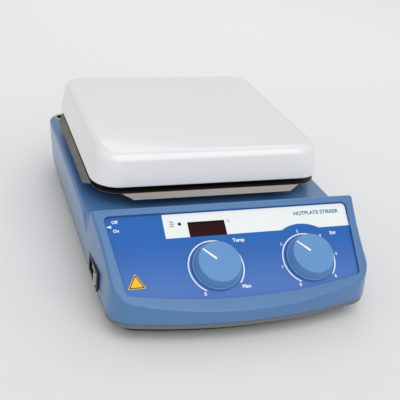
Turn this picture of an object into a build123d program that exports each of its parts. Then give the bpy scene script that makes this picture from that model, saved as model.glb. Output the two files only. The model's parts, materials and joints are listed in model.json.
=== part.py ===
from build123d import *
from math import atan, cos, degrees, radians, sin, tan
import os

# Magnetic hotplate stirrer. Millimetres, +X right, +Y to the rear, +Z up.
# The origin is on the bench, under the middle of the base.

# Overall and housing
DEPTH = 330.0
HEIGHT = 105.0
REAR_Y = DEPTH / 2
FRONT_Y = -DEPTH / 2
FRONT_BOW = 15.0
BASE_HALF = 108.0
CREST_HALF = 113.3
FRONT_HALF_LOW = 107.5
FRONT_HALF_HIGH = 101.0
SIDE_BREAK_Y = -80.0
CREST_Y = -88.0
REAR_CORNER_R = 20.0
FRONT_CORNER_R = 22.0
WALL = 3.0
PICK = 1.0  # reach of the tests that pick out a corner or an edge
SPARE = 1.0  # how far a cut or a join runs past the face it meets
HOUSING_Z = 18.0
LOFT_TOP_Z = 80.0
CREST_Z = 78.0
DECK_Z = 59.0
EDGE_R = 3.0
CONSOLE_FOOT_R = 12.0
CONSOLE_BACK_Y = -62.0
SCALLOP_R = 24.0
SCALLOP_Y = -66.0
SCALLOP_DEPTH = 6.0
SCALLOP_TILT = 14.0

# Sloping control panel: its frame sits at the top edge of the foil
PANEL_TILT = 33.0
PANEL_TOP_Y = -91.8
PANEL_TOP_Z = 72.9
RIM_RISE = 2.0
FOIL_T = 0.6
FOIL_TOP_HALF = 103.0
FOIL_LOW_HALF = 95.0
FOIL_SIDE = 65.0
FOIL_APEX = 75.0
FOIL_CORNER_R = 4.0
FOIL_GAP = 0.3
PANEL_WALL = 3.0

# Dials
KNOB_DOWN = 48.0
TEMP_KNOB_X = -22.0
STIR_KNOB_X = 56.0
KNOB_TOP_R = 16.8
KNOB_SKIRT_R = 18.6
KNOB_FLANGE_R = 19.6
KNOB_LIFT = 0.6
KNOB_FLANGE_T = 2.0
KNOB_H = 10.8
KNOB_EDGE_R = 0.9
KNOB_CAVITY_R = 14.0
KNOB_CAVITY_H = 6.0
KNOB_HUB_R = 6.0
KNOB_HUB_GAP = 3.4
POINTER_TURN = 46.0
POINTER_W = 1.3
POINTER_IN = 3.0
POINTER_SINK = 0.5
SHAFT_R = 3.0
SHAFT_FIT = 0.05
SHAFT_TOP = 8.0
POT_R = 12.0
POT_DEPTH = 11.0
POT_BUSH_R = 4.5
POT_BUSH_TOP = 2.8
POT_NUT_R = 6.8
POT_NUT_T = 2.2

# Display and indicator
WINDOW_X = -22.3
WINDOW_DOWN = 14.9
WINDOW_W = 30.6
WINDOW_H = 13.0
LAMP_X = -44.0
LAMP_DOWN = 9.5
LAMP_R = 1.4
MODULE_GAP = 0.6
FRONT_BOARD_W = 148.0
FRONT_BOARD_X = 4.0
FRONT_BOARD_TOP = 4.0
FRONT_BOARD_H = 58.0
BOARD_T = 1.6

# Base
FOOT_R = 11.0
FOOT_H = 3.0
FOOT_STUD_R = 3.0
FOOT_STUD_H = 2.5
FOOT_X = 76.0
FOOT_FRONT_Y = -118.0
FOOT_REAR_Y = 132.0
PAN_INSET = 13.0
PAN_WALL = 2.5
PLATE_Z = 13.5
PLATE_TOP_Z = 17.2
PLATE_INSET = 0.8
SEAL_INSET = 1.6
SEAL_W = 1.6
VENT_W = 4.0
VENT_L = 60.0
VENT_PITCH = 12.0
VENT_COUNT = 7
BOSS_R = 5.0
BASE_SCREW_R = 2.0
BASE_HEAD_R = 3.6
BASE_HEAD_T = 2.4
BASE_SCREW_TOP = 32.0
BASE_SCREW_SPOTS = [
    (-98.5, 118.0), (98.5, 118.0), (-99.0, -8.0), (99.0, -8.0), (-88.0, -127.0), (88.0, -127.0),
]
PAN_SCREW_SPOTS = [(-60.0, -100.0), (60.0, -100.0), (-60.0, 108.0), (60.0, 108.0)]
PAN_SCREW_R = 1.5
PAN_HEAD_R = 3.0
PAN_HEAD_T = 1.8
PAN_SCREW_L = 12.0

# Heating plate, centred behind the console
PLATE_Y = 50.0
SHELL_LOW_Z = 77.5
SHELL_LOW_HALF = 102.5
SHELL_TOP_HALF = 98.0
SHELL_CORNER_R = 23.0
SHELL_EDGE_R = 7.0
SHELL_WALL = 4.0
SHELL_ROOF = 5.0
SHIELD_Z = 71.0
SHIELD_T = 0.8
SHIELD_HALF = 100.5
SHIELD_CORNER_R = 22.0
LIP_ROOT = 154.0
LIP_END = 141.0
LIP_DROP = 4.5
LIP_REACH = 4.5
TRAY_HALF = 94.0
TRAY_CORNER_R = 16.0
TRAY_T = 0.8
TRAY_Z = 73.6
TRAY_TOP_Z = 88.0
WOOL_TOP_Z = 91.0
ELEMENT_TOP_Z = 94.0
SPREADER_HALF = 88.0
STANDOFF_R = 6.0
WASHER_R = 7.0
STAY_SPAN = 70.0
STAY_R = 2.0
STAY_BORE_R = 2.2
STAY_HEAD_R = 3.8
STAY_HEAD_T = 3.0
STAY_TOP_Z = 97.0
PROBE_R = 1.5
PROBE_L = 34.0
PROBE_YS = (PLATE_Y, PLATE_Y + 28.0)
PROBE_Z = 97.0
LEAD_R = 1.5
LEAD_X = 55.0
LEAD_YS = (112.0, 120.0)
BUSHING_R = 3.6
BUSHING_LIP = 1.0

# Stirring drive, on the plate's centre line
COVER_R = 46.0
COVER_T = 1.0
COVER_FLANGE_R = 52.0
COVER_TOP_Z = 70.0
DECK_HOLE_R = 44.0
YOKE_L = 76.0
YOKE_W = 22.0
YOKE_T = 3.0
YOKE_Z = 60.5
MAGNET_R = 10.0
MAGNET_T = 5.0
MAGNET_X = 27.0
SPINDLE_R = 4.0
SPINDLE_FIT = 0.02
SPINDLE_CLEAR = 1.0
SPINDLE_Z = 24.0
BRACKET_Z = 50.0
BRACKET_T = 2.5
BRACKET_L = 92.0
BRACKET_W = 66.0
BRACKET_SPAN_X = 38.0
BRACKET_SPAN_Y = 26.0
BRACKET_SCREW_R = 1.75
BRACKET_HOLE_R = 1.85
BRACKET_HEAD_R = 3.2
BRACKET_HEAD_T = 2.2
BRACKET_SCREW_TOP = DECK_Z - 1.0
BEARING_R = 9.5
BEARING_H = 5.0
CAN_R = 30.0
CAN_T = 2.0
CAN_Z = 23.0
STATOR_IN_R = 17.0
STATOR_Z = 31.0
STATOR_TOP_Z = 46.0
ROTOR_R = 16.4
ROTOR_Z = 32.0
ROTOR_TOP_Z = 45.0

# Main board and what stands on it
BOARD_X = 66.0
BOARD_Y = 37.5
BOARD_W = 50.0
BOARD_L = 175.0
BOARD_Z = 24.0
SPACER_R = 3.0
CORE_X = (50.0, 90.0)
CORE_Y = (60.0, 92.0)
CORE_H = 22.0
COIL_X = (55.0, 85.0)
COIL_Y = (64.0, 88.0)
COIL_H = 24.0
CAPACITORS = [(8.0, 18.0, 56.0, 40.0), (6.0, 14.0, 74.0, 42.0)]  # radius, height, x, y
SINK_X = (52.0, 86.0)
SINK_Y = (4.0, 7.0)
SINK_H = 22.0
FIN_COUNT = 6
FIN_X = 53.0
FIN_PITCH = 6.0
FIN_T = 1.5
FIN_END_Y = 17.0
TRIAC_X = (64.0, 74.0)
TRIAC_Y = (-0.5, 4.0)
TRIAC_LIFT = 2.0
TRIAC_TOP = 17.0

# Power switch, in the left side of the console
SWITCH_Y = -95.0
SWITCH_Z = 28.0
SWITCH_FACE_X = -109.8
SWITCH_FLANGE_T = 1.4
SWITCH_FLANGE_L = 34.0
SWITCH_FLANGE_H = 16.6
SWITCH_BODY_L = 31.0
SWITCH_BODY_H = 14.0
SWITCH_BODY_DEEP = 19.0
SWITCH_WELL_L = 28.2
SWITCH_WELL_H = 11.2
SWITCH_WELL_DEEP = 11.0
ROCKER_L = 26.0
ROCKER_H = 10.4
ROCKER_PIVOT_X = -104.6
ROCKER_TIP_X = -5.2
ROCKER_DIP_X = -3.2
ROCKER_BACK_X = 1.5
ROCKER_KEEL_X = 4.0
ROCKER_KEEL_HALF = 4.0
ROCKER_TURN = 9.0
ROCKER_PIN_R = 1.0

# Rear connections
INLET_X = 60.0
INLET_Z = 38.0
INLET_FLANGE_W = 50.0
INLET_FLANGE_H = 34.0
INLET_FLANGE_T = 2.0
INLET_BODY_W = 30.0
INLET_BODY_H = 31.0
INLET_BODY_DEEP = 24.0
WELL_W = 24.5
WELL_H = 16.5
WELL_Z = 42.5
WELL_DEEP = 17.0
BLADE_L = 11.5
BLADE_T = 2.0
BLADE_H = 4.0
BLADE_SPOTS = [(-7.0, -2.0), (0.0, 2.0), (7.0, -2.0)]
DRAWER_W = 22.0
DRAWER_H = 7.0
DRAWER_Z = 28.0
DRAWER_DEEP = 21.0
DRAWER_GAP = 0.2
DRAWER_END_GAP = 1.0
FUSE_R = 2.5
FUSE_L = 19.0
FUSE_X = 5.5
INLET_SCREW_X = 20.0
INLET_SCREW_R = 1.7
INLET_HEAD_R = 3.1
INLET_HEAD_T = 1.0
SOCKET_X = -6.0
SOCKET_R = 9.0
SOCKET_RIM_T = 1.0
SOCKET_BODY_R = 7.5
SOCKET_WELL_R = 6.0
SOCKET_WELL_DEEP = 9.0
SOCKET_DEEP = 14.0
SOCKET_PIN_R = 0.7
SOCKET_PIN_L = 4.2
SOCKET_PIN_RING = 3.6
SOCKET_PINS = 6
SOCKET_PIN_START = 30.0
SOCKET_PIN_SWEEP = 300.0
ROD_X = -98.5
ROD_Y = 153.0
ROD_R = 5.0
ROD_BUSH_R = 7.2
ROD_DEEP = 24.0

panel = Plane(
    origin=(0, PANEL_TOP_Y, PANEL_TOP_Z),
    x_dir=(1, 0, 0),
    z_dir=(0, -sin(radians(PANEL_TILT)), cos(radians(PANEL_TILT))),
)
PANEL_SLOPE = tan(radians(PANEL_TILT))
PANEL_BACK = -FOIL_T - PANEL_WALL
FRONT_BOARD_Z = PANEL_BACK - POT_DEPTH

parts = {}


def block(x0, x1, y0, y1, z0, z1):
    """A plain box between two corners."""
    return Pos((x0 + x1) / 2, (y0 + y1) / 2, (z0 + z1) / 2) * Box(x1 - x0, y1 - y0, z1 - z0)


def disc(r, z0, z1, x=0.0, y=0.0):
    """An upright cylinder from z0 to z1."""
    return Pos(x, y, (z0 + z1) / 2) * Cylinder(r, z1 - z0)


def ring(r_out, r_in, z0, z1, x=0.0, y=0.0):
    """An upright tube."""
    return disc(r_out, z0, z1, x, y) - disc(r_in, z0, z1, x, y)


def on_panel(shape, x, down):
    """Places a shape drawn about the origin at a spot on the panel."""
    return panel * Pos(x, -down, 0) * shape


def joined(shapes):
    """Separate solids kept together in one node."""
    return Compound(children=list(shapes))


def corners(span_x, span_y, x=0.0, y=0.0):
    """The four corners of a rectangle of fixings."""
    return [(x + sx * span_x, y + sy * span_y) for sx in (-1, 1) for sy in (-1, 1)]


def plan_face(half, front_half, inset, z):
    """Housing outline: straight sides, drawn in towards a bowed front."""
    corner_y = FRONT_Y + FRONT_BOW
    sides = Polyline(
        (front_half, corner_y), (half, SIDE_BREAK_Y), (half, REAR_Y),
        (-half, REAR_Y), (-half, SIDE_BREAK_Y), (-front_half, corner_y),
    )
    bow = ThreePointArc((-front_half, corner_y), (0, FRONT_Y), (front_half, corner_y))
    face = make_face(sides.edges() + bow.edges())
    rear = [v for v in face.vertices() if v.Y > 0]
    face = fillet(rear, REAR_CORNER_R)
    front = [v for v in face.vertices() if v.Y < corner_y + PICK and abs(v.X) > front_half - PICK]
    face = fillet(front, FRONT_CORNER_R)
    if inset > 0:
        face = offset(face, -inset, kind=Kind.INTERSECTION)
    return Pos(0, 0, z) * face


def plan_block(inset, z0, z1):
    """A flat slab with the housing's lower outline."""
    return extrude(plan_face(BASE_HALF, FRONT_HALF_LOW, inset, z0), z1 - z0)


def rounded_face(half, corner_r, z):
    """A flat square with round corners, centred on the heating plate."""
    return Pos(0, PLATE_Y, z) * RectangleRounded(2 * half, 2 * half, corner_r)


def rounded_square(half, corner_r, z0, z1):
    """A square slab with round corners, centred on the heating plate."""
    return extrude(rounded_face(half, corner_r, z0), z1 - z0)


def meet(y1, z1, slope1, y2, z2, slope2):
    """Where two lines in the YZ plane cross."""
    y = (z2 - z1 + slope1 * y1 - slope2 * y2) / (slope1 - slope2)
    return y, z1 + slope1 * (y - y1)


def side_profile(deck_z, back_y, panel_offset, back_offset):
    """The housing's side view, as a wide slab: deck, console back and sloping panel."""
    far = DEPTH
    rise = panel_offset / cos(radians(PANEL_TILT))
    back_slope = (CREST_Z - DECK_Z) / (CREST_Y - CONSOLE_BACK_Y)
    foot_y, foot_z = back_y, DECK_Z - back_offset
    crest = meet(foot_y, foot_z, back_slope, PANEL_TOP_Y, PANEL_TOP_Z + rise, PANEL_SLOPE)
    start = meet(foot_y, foot_z, back_slope, 0, deck_z, 0)
    toe_z = crest[1] - (crest[0] + far) * PANEL_SLOPE
    points = [(-far, toe_z), crest, start, (far, deck_z), (far, -far), (-far, -far)]
    face = make_face(Polyline([(0, y, z) for y, z in points], close=True).edges())
    return extrude(face, CREST_HALF * 2, dir=(1, 0, 0), both=True)


def foil_face(grow, z):
    """Outline of the foil in the panel's own frame, drawn at a height z over it."""
    half, low = FOIL_TOP_HALF, FOIL_LOW_HALF
    edges = Polyline((-low, -FOIL_SIDE), (-half, 0), (half, 0), (low, -FOIL_SIDE)).edges()
    edges += ThreePointArc((low, -FOIL_SIDE), (0, -FOIL_APEX), (-low, -FOIL_SIDE)).edges()
    face = make_face(edges)
    face = fillet(face.vertices(), FOIL_CORNER_R)
    if grow > 0:
        face = offset(face, grow)
    return Pos(0, 0, z) * face


def dial_spots():
    """Name and place of each of the two dials."""
    return (("temp", TEMP_KNOB_X), ("stir", STIR_KNOB_X))


def runs_at(edge, y, z):
    """Whether an edge's middle lies at a given place in the side view."""
    middle = edge.center()
    return abs(middle.Y - y) < PICK / 2 and abs(middle.Z - z) < PICK / 2


def make_housing():
    """Cast upper housing: deck, console, sloping recess for the foil, hollow inside."""
    low = plan_face(BASE_HALF, FRONT_HALF_LOW, 0, HOUSING_Z)
    high = plan_face(CREST_HALF, FRONT_HALF_HIGH, 0, LOFT_TOP_Z)
    outer = loft([low, high], ruled=True) & side_profile(DECK_Z, CONSOLE_BACK_Y, RIM_RISE, 0)
    low_in = plan_face(BASE_HALF, FRONT_HALF_LOW, WALL, HOUSING_Z)
    high_in = plan_face(CREST_HALF, FRONT_HALF_HIGH, WALL, LOFT_TOP_Z)
    hollow = loft([low_in, high_in], ruled=True)
    hollow &= side_profile(DECK_Z - WALL, CONSOLE_BACK_Y - WALL, PANEL_BACK, WALL / 2)
    for side in (-1, 1):
        axis = Pos(side * (CREST_HALF + SCALLOP_R - SCALLOP_DEPTH), SCALLOP_Y, DECK_Z)
        tilt = Rot(0, -side * SCALLOP_TILT, 0)
        outer -= axis * tilt * Cylinder(SCALLOP_R, HEIGHT)
        hollow -= axis * tilt * Cylinder(SCALLOP_R + WALL, HEIGHT)
    outer = fillet([e for e in outer.edges() if runs_at(e, CONSOLE_BACK_Y, DECK_Z)], CONSOLE_FOOT_R)
    outer = fillet([e for e in outer.edges() if e.bounding_box().min.Z > HOUSING_Z + PICK], EDGE_R)
    body = outer - hollow
    posts = [disc(BOSS_R, HOUSING_Z, DECK_Z, x, y) for x, y in BASE_SCREW_SPOTS]
    posts += [disc(BOSS_R, BRACKET_Z + BRACKET_T, DECK_Z, x, y)
              for x, y in corners(BRACKET_SPAN_X, BRACKET_SPAN_Y, 0, PLATE_Y)]
    posts += [disc(ROD_BUSH_R + WALL, DECK_Z - ROD_DEEP, DECK_Z, ROD_X, ROD_Y)]
    for post in posts:
        body += post & outer
    for x, y in BASE_SCREW_SPOTS:
        body -= disc(BASE_SCREW_R, HOUSING_Z, BASE_SCREW_TOP, x, y)
    for x, y in corners(BRACKET_SPAN_X, BRACKET_SPAN_Y, 0, PLATE_Y):
        body -= disc(BRACKET_HOLE_R, BRACKET_Z, BRACKET_SCREW_TOP, x, y)
    for x, y in corners(STAY_SPAN, STAY_SPAN, 0, PLATE_Y):
        body -= disc(STAY_BORE_R, BRACKET_Z, DECK_Z, x, y)
    for y in LEAD_YS:
        body -= disc(BUSHING_R, BRACKET_Z, DECK_Z, LEAD_X, y)
    body -= disc(DECK_HOLE_R, BRACKET_Z, DECK_Z, 0, PLATE_Y) - joined(
        disc(BOSS_R, BRACKET_Z, DECK_Z, x, y)
        for x, y in corners(BRACKET_SPAN_X, BRACKET_SPAN_Y, 0, PLATE_Y))
    body -= disc(ROD_BUSH_R, DECK_Z - ROD_DEEP - WALL, DECK_Z, ROD_X, ROD_Y)
    body -= panel * extrude(foil_face(FOIL_GAP, -FOIL_T), RIM_RISE + FOIL_T + SPARE)
    for _, x in dial_spots():
        body -= on_panel(Cylinder(POT_BUSH_R + FOIL_GAP, 4 * PANEL_WALL), x, KNOB_DOWN)
    body -= on_panel(Box(WINDOW_W, WINDOW_H, 4 * PANEL_WALL), WINDOW_X, WINDOW_DOWN)
    body -= on_panel(Cylinder(LAMP_R, 4 * PANEL_WALL), LAMP_X, LAMP_DOWN)
    flange_x = SWITCH_FACE_X + SWITCH_FLANGE_T
    body -= switch_box(SWITCH_FLANGE_L, SWITCH_FLANGE_H, SWITCH_FACE_X - WALL, flange_x)
    body -= switch_box(SWITCH_BODY_L, SWITCH_BODY_H, SWITCH_FACE_X, SWITCH_FACE_X + SWITCH_BODY_DEEP)
    body -= inlet_box(INLET_FLANGE_W, INLET_FLANGE_H, INLET_Z, INLET_FLANGE_T)
    body -= inlet_box(INLET_BODY_W, INLET_BODY_H, INLET_Z, INLET_BODY_DEEP)
    for side in (-1, 1):
        body -= rear_disc(INLET_SCREW_R, INLET_X + side * INLET_SCREW_X, INLET_Z, 0, 3 * WALL)
    body -= rear_disc(SOCKET_BODY_R, SOCKET_X, INLET_Z, 0, SOCKET_DEEP)
    body -= rear_disc(SOCKET_R, SOCKET_X, INLET_Z, 0, SOCKET_RIM_T)
    return body


def switch_box(length, height, x0, x1):
    """A box about the switch's centre, between two distances from the middle."""
    return block(x0, x1, SWITCH_Y - length / 2, SWITCH_Y + length / 2,
                 SWITCH_Z - height / 2, SWITCH_Z + height / 2)


def inlet_box(width, height, z, deep, start=0.0, x=INLET_X):
    """A box let into the rear face, from a start depth to a deeper one."""
    return block(x - width / 2, x + width / 2, REAR_Y - deep, REAR_Y - start,
                 z - height / 2, z + height / 2)


def rear_disc(r, x, z, start, deep):
    """A cylinder let into the rear face."""
    return Pos(x, REAR_Y - (start + deep) / 2, z) * Rot(90, 0, 0) * Cylinder(r, deep - start)


def make_base():
    """Grey base plate, black pan under it, feet, seal and screws."""
    plate = plan_block(PLATE_INSET, PLATE_Z, PLATE_TOP_Z)
    pan = plan_block(PAN_INSET, FOOT_H, PLATE_Z)
    pan -= plan_block(PAN_INSET + PAN_WALL, FOOT_H + PAN_WALL, PLATE_Z)
    first = -VENT_PITCH * (VENT_COUNT - 1) / 2
    for row in range(VENT_COUNT):
        x = first + row * VENT_PITCH
        pan -= block(x - VENT_W / 2, x + VENT_W / 2, -VENT_L, VENT_L, FOOT_H, FOOT_H + PAN_WALL)
    screws = []
    for x, y in BASE_SCREW_SPOTS:
        head = disc(BASE_HEAD_R, PLATE_Z, PLATE_Z + BASE_HEAD_T, x, y)
        shank = disc(BASE_SCREW_R, PLATE_Z + BASE_HEAD_T, BASE_SCREW_TOP, x, y)
        plate -= head + disc(BASE_SCREW_R, PLATE_Z, PLATE_TOP_Z, x, y)
        screws.append(head + shank)
    for x, y in PAN_SCREW_SPOTS:
        post = disc(BOSS_R, FOOT_H, PLATE_Z, x, y)
        head = disc(PAN_HEAD_R, FOOT_H, FOOT_H + PAN_HEAD_T, x, y)
        shank = disc(PAN_SCREW_R, FOOT_H + PAN_HEAD_T, FOOT_H + PAN_SCREW_L, x, y)
        pan = pan + post - head - shank
        plate -= shank
        screws.append(head + shank)
    feet = []
    for x, y in [(sx * FOOT_X, fy) for sx in (-1, 1) for fy in (FOOT_FRONT_Y, FOOT_REAR_Y)]:
        stud = disc(FOOT_STUD_R, FOOT_H, FOOT_H + FOOT_STUD_H, x, y)
        feet.append(disc(FOOT_R, 0, FOOT_H, x, y) + stud)
        pan -= stud
    seal = plan_block(SEAL_INSET, PLATE_TOP_Z, HOUSING_Z)
    seal -= plan_block(SEAL_INSET + SEAL_W, PLATE_TOP_Z, HOUSING_Z)
    for x, y in BASE_SCREW_SPOTS:
        seal -= disc(BASE_SCREW_R, PLATE_TOP_Z, HOUSING_Z, x, y)
    parts["base_plate"] = plate
    parts["base_pan"] = pan
    parts["base_seal"] = seal
    parts["base_screws"] = joined(screws)
    parts["feet"] = joined(feet)


def make_panel():
    """Foil, display window and module, lamp, dial board."""
    foil = extrude(foil_face(0, -FOIL_T), FOIL_T)
    for _, x in dial_spots():
        foil -= Pos(x, -KNOB_DOWN, 0) * Cylinder(POT_BUSH_R + FOIL_GAP, 4 * FOIL_T)
    foil -= Pos(WINDOW_X, -WINDOW_DOWN, 0) * Box(WINDOW_W, WINDOW_H, 4 * FOIL_T)
    foil -= Pos(LAMP_X, -LAMP_DOWN, 0) * Cylinder(LAMP_R, 4 * FOIL_T)
    parts["front_foil"] = panel * foil
    window = Box(WINDOW_W, WINDOW_H, PANEL_WALL)
    parts["display_window"] = on_panel(Pos(0, 0, -PANEL_WALL / 2) * window, WINDOW_X, WINDOW_DOWN)
    module_top = PANEL_BACK - MODULE_GAP
    module = Box(WINDOW_W, WINDOW_H, module_top - FRONT_BOARD_Z)
    module_z = (module_top + FRONT_BOARD_Z) / 2
    parts["display_module"] = on_panel(Pos(0, 0, module_z) * module, WINDOW_X, WINDOW_DOWN)
    lamp = disc(LAMP_R, FRONT_BOARD_Z, 0)
    parts["lamp_light_pipe"] = on_panel(lamp, LAMP_X, LAMP_DOWN)
    board_y = -FRONT_BOARD_TOP - FRONT_BOARD_H / 2
    board = Box(FRONT_BOARD_W, FRONT_BOARD_H, BOARD_T)
    parts["front_board"] = panel * Pos(FRONT_BOARD_X, board_y, FRONT_BOARD_Z - BOARD_T / 2) * board
    reach_x = FRONT_BOARD_W / 2 - SPACER_R
    reach_y = FRONT_BOARD_H / 2 - SPACER_R
    return [panel * disc(SPACER_R, FRONT_BOARD_Z, PANEL_BACK, x, y)
            for x, y in corners(reach_x, reach_y, FRONT_BOARD_X, board_y)]


def make_dials():
    """Each dial: knob, pointer, shaft, potentiometer; the two nuts are one group."""
    nuts = []
    for name, x in dial_spots():
        flange = disc(KNOB_FLANGE_R, KNOB_LIFT, KNOB_LIFT + KNOB_FLANGE_T)
        skirt_h = KNOB_H - KNOB_LIFT - KNOB_FLANGE_T
        skirt = Pos(0, 0, KNOB_H - skirt_h / 2) * Cone(KNOB_SKIRT_R, KNOB_TOP_R, skirt_h)
        skirt = fillet(skirt.edges().group_by(Axis.Z)[-1], KNOB_EDGE_R)
        knob = flange + skirt
        knob -= disc(KNOB_CAVITY_R, KNOB_LIFT, KNOB_CAVITY_H)
        knob += disc(KNOB_HUB_R, KNOB_HUB_GAP, KNOB_CAVITY_H + SPARE)
        knob -= disc(SHAFT_R, KNOB_LIFT, SHAFT_TOP)
        length = KNOB_TOP_R - KNOB_EDGE_R - POINTER_IN
        line = Box(POINTER_W, length, POINTER_SINK)
        line = Pos(0, POINTER_IN + length / 2, KNOB_H - POINTER_SINK / 2) * line
        line = Rot(0, 0, POINTER_TURN) * line
        knob -= line
        parts[name + "_knob"] = on_panel(knob, x, KNOB_DOWN)
        parts[name + "_pointer"] = on_panel(line, x, KNOB_DOWN)
        parts[name + "_shaft"] = on_panel(disc(SHAFT_R, PANEL_BACK - POT_DEPTH / 2, SHAFT_TOP), x, KNOB_DOWN)
        pot = disc(POT_R, FRONT_BOARD_Z, PANEL_BACK) + disc(POT_BUSH_R, PANEL_BACK, POT_BUSH_TOP)
        pot -= disc(SHAFT_R + SHAFT_FIT, PANEL_BACK - POT_DEPTH / 2, POT_BUSH_TOP)
        parts[name + "_pot"] = on_panel(pot, x, KNOB_DOWN)
        nut = extrude(RegularPolygon(POT_NUT_R, 6), POT_NUT_T) - disc(POT_BUSH_R, 0, POT_NUT_T)
        nuts.append(on_panel(nut, x, KNOB_DOWN))
    parts["pot_nuts"] = joined(nuts)


def make_switch():
    """Rocker switch: frame, rocker and pivot pin. The rocker rests at its off end."""
    frame = switch_box(SWITCH_FLANGE_L, SWITCH_FLANGE_H, SWITCH_FACE_X, SWITCH_FACE_X + SWITCH_FLANGE_T)
    frame += switch_box(SWITCH_BODY_L, SWITCH_BODY_H, SWITCH_FACE_X, SWITCH_FACE_X + SWITCH_BODY_DEEP)
    frame -= switch_box(SWITCH_WELL_L, SWITCH_WELL_H, SWITCH_FACE_X, SWITCH_FACE_X + SWITCH_WELL_DEEP)
    pivot = Pos(ROCKER_PIVOT_X, SWITCH_Y, SWITCH_Z)
    pin = pivot * Cylinder(ROCKER_PIN_R, SWITCH_BODY_H)
    frame -= pin
    half = ROCKER_L / 2
    outline = Polyline(
        (ROCKER_TIP_X, -half), (ROCKER_DIP_X, 0), (ROCKER_TIP_X, half), (ROCKER_BACK_X, half),
        (ROCKER_KEEL_X, ROCKER_KEEL_HALF), (ROCKER_KEEL_X, -ROCKER_KEEL_HALF), (ROCKER_BACK_X, -half),
        close=True,
    )
    rocker = extrude(make_face(outline.edges()), ROCKER_H / 2, both=True)
    rocker -= Cylinder(ROCKER_PIN_R + SHAFT_FIT, ROCKER_H)
    parts["switch_frame"] = frame
    parts["switch_rocker"] = pivot * Rot(0, 0, -ROCKER_TURN) * rocker
    parts["switch_pin"] = pin


def make_plate():
    """White shell, heater stack, tray, heat shield, and the stays that carry them."""
    low = rounded_face(SHELL_LOW_HALF, SHELL_CORNER_R, SHELL_LOW_Z)
    high = rounded_face(SHELL_TOP_HALF, SHELL_CORNER_R, HEIGHT)
    shell = loft([low, high], ruled=True)
    shell = fillet(shell.edges().group_by(Axis.Z)[-1], SHELL_EDGE_R)
    inner_r = SHELL_CORNER_R - SHELL_WALL
    roof_z = HEIGHT - SHELL_ROOF
    shrink = (SHELL_LOW_HALF - SHELL_TOP_HALF) * (roof_z - SHELL_LOW_Z) / (HEIGHT - SHELL_LOW_Z)
    bottom = rounded_face(SHELL_LOW_HALF - SHELL_WALL, inner_r, SHELL_LOW_Z)
    roof = rounded_face(SHELL_LOW_HALF - SHELL_WALL - shrink, inner_r, roof_z)
    parts["plate_shell"] = shell - loft([bottom, roof], ruled=True)

    stays = corners(STAY_SPAN, STAY_SPAN, 0, PLATE_Y)
    spreader = rounded_square(SPREADER_HALF, TRAY_CORNER_R, ELEMENT_TOP_Z, roof_z)
    element = rounded_square(SPREADER_HALF, TRAY_CORNER_R, WOOL_TOP_Z, ELEMENT_TOP_Z)
    wool_half = TRAY_HALF - TRAY_T
    wool = rounded_square(wool_half, TRAY_CORNER_R - TRAY_T, TRAY_Z + TRAY_T, WOOL_TOP_Z)
    tray = rounded_square(TRAY_HALF, TRAY_CORNER_R, TRAY_Z, TRAY_TOP_Z)
    tray -= rounded_square(wool_half, TRAY_CORNER_R - TRAY_T, TRAY_Z + TRAY_T, TRAY_TOP_Z)
    shield = make_shield()
    standoffs = []
    washers = []
    screws = []
    for x, y in stays:
        bore = disc(STAY_BORE_R, DECK_Z, WOOL_TOP_Z, x, y)
        screw = disc(STAY_R, DECK_Z - WALL, STAY_TOP_Z, x, y)
        wool -= bore
        tray -= bore
        shield -= bore
        element -= screw
        spreader -= screw
        standoffs.append(ring(STANDOFF_R, STAY_BORE_R, DECK_Z, SHIELD_Z, x, y))
        washers.append(ring(WASHER_R, STAY_BORE_R, SHIELD_Z + SHIELD_T, TRAY_Z, x, y))
        screws.append(screw + disc(STAY_HEAD_R, DECK_Z - WALL - STAY_HEAD_T, DECK_Z - WALL, x, y))
    leads = []
    bushings = []
    for y in LEAD_YS:
        lead = disc(LEAD_R, BOARD_Z + BOARD_T, WOOL_TOP_Z, LEAD_X, y)
        hole = disc(BUSHING_R, SHIELD_Z, SHIELD_Z + SHIELD_T, LEAD_X, y)
        wool -= lead
        tray -= lead
        shield -= hole
        leads.append(lead)
        bushings.append(ring(BUSHING_R, LEAD_R, DECK_Z - WALL - BUSHING_LIP, DECK_Z + BUSHING_LIP, LEAD_X, y))
    probes = []
    for y in PROBE_YS:
        probe = Pos(-SPREADER_HALF + PROBE_L / 2, y, PROBE_Z) * Rot(0, 90, 0) * Cylinder(PROBE_R, PROBE_L)
        spreader -= probe
        probes.append(probe)
    parts["heat_spreader"] = spreader
    parts["heater_element"] = element
    parts["heater_insulation"] = wool
    parts["heater_tray"] = tray
    parts["heat_shield"] = shield
    parts["plate_standoffs"] = joined(standoffs)
    parts["plate_washers"] = joined(washers)
    parts["plate_screws"] = joined(screws)
    parts["heater_leads"] = joined(leads)
    parts["lead_bushings"] = joined(bushings)
    parts["plate_probes"] = joined(probes)


def make_shield():
    """Thin steel shield with a flared lip along each side."""
    shield = rounded_square(SHIELD_HALF, SHIELD_CORNER_R, SHIELD_Z, SHIELD_Z + SHIELD_T)
    slope = degrees(atan(LIP_DROP / LIP_REACH))
    length = LIP_DROP / sin(radians(slope))
    lip = extrude(Trapezoid(LIP_ROOT, length, degrees(atan(2 * length / (LIP_ROOT - LIP_END)))), SHIELD_T)
    lip = Pos(0, length / 2, -SHIELD_T) * lip
    for turn in range(4):
        swing = Rot(0, 0, 90 * turn)
        edge = Pos(0, SHIELD_HALF - SHIELD_T / 2, SHIELD_Z + SHIELD_T) * Rot(-slope, 0, 0)
        shield += Pos(0, PLATE_Y, 0) * swing * edge * lip
    return shield


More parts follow.
